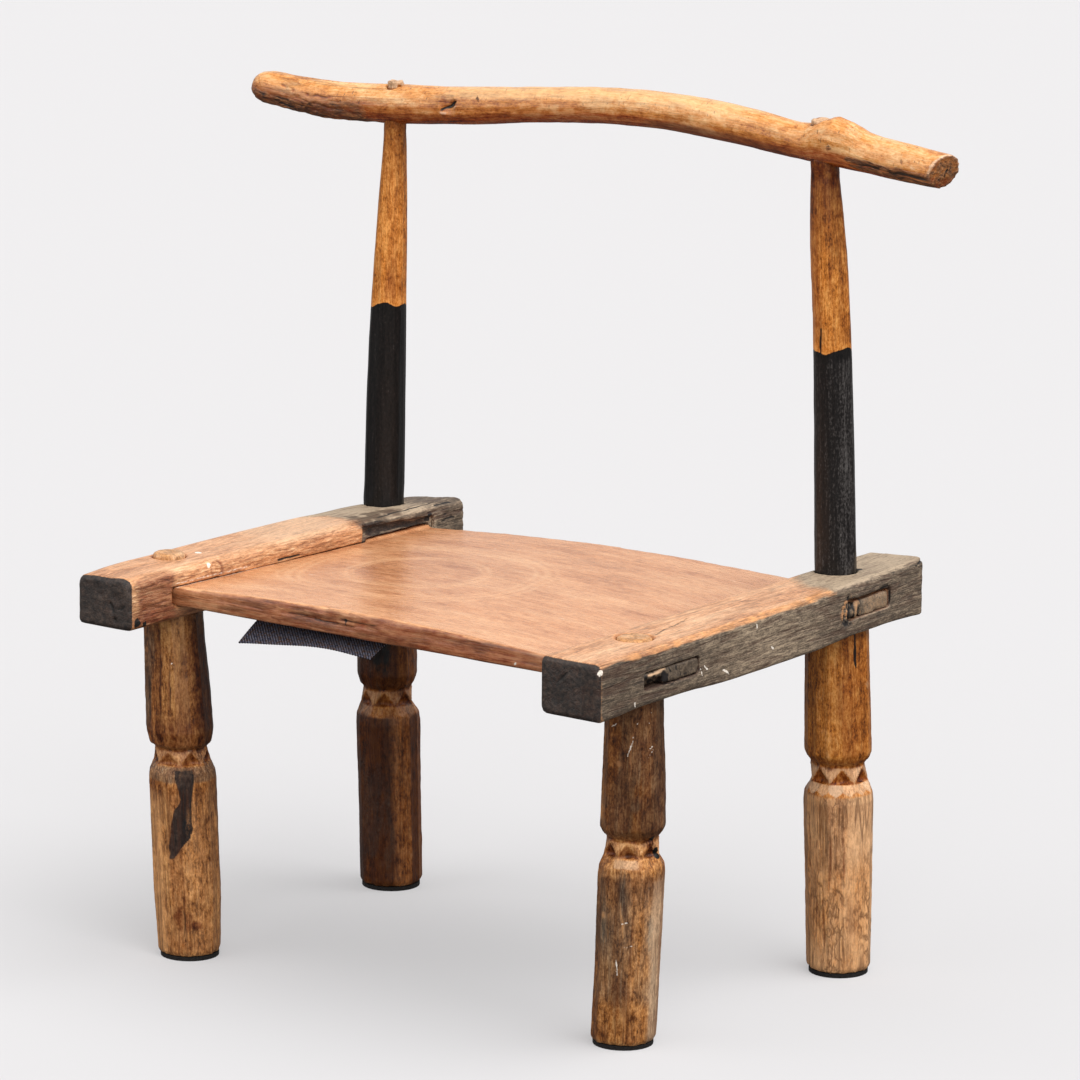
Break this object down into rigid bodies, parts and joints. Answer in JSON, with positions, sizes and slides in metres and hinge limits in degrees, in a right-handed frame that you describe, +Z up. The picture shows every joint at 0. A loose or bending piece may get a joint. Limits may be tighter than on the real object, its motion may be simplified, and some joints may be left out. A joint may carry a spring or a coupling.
{
  "type": "low carved wooden chair",
  "caption": "Low hand-hewn African chair: crowned seat board between side rails, carved legs, and back posts that carry a natural bent branch as crest rail.",
  "frame": {"origin": "on the floor, under the middle of the bounding box", "axes": "+Z up, +Y towards the back of the chair, +X to the right as seen from the front"},
  "size_m": [0.6522, 0.4354, 0.6613],
  "materials": {
    "rail": "hewn, charred and weathered at the front, worn orange-brown along the edges",
    "seat": "worn smooth, satin, with crosswise figure",
    "leg": "facetted, stained dark brown, satin",
    "upright": "facetted, orange-brown below and stained black towards the branch",
    "branch": "peeled natural branch, worn smooth, with dark remains of bark",
    "pad": "matt black",
    "cloth": "coarse basket weave, black, blue-grey and brown"
  },
  "bodies": {
    "root": {"side_rail_left": "rail", "side_rail_right": "rail", "seat_board": "seat", "front_leg_left": "leg", "front_leg_right": "leg", "rear_upright_left": "upright", "rear_upright_right": "upright", "back_branch": "branch", "foot_pad_front_left": "pad", "foot_pad_front_right": "pad", "foot_pad_rear_left": "pad", "foot_pad_rear_right": "pad", "hanging_cloth": "cloth"}
  },
  "joints": []
}
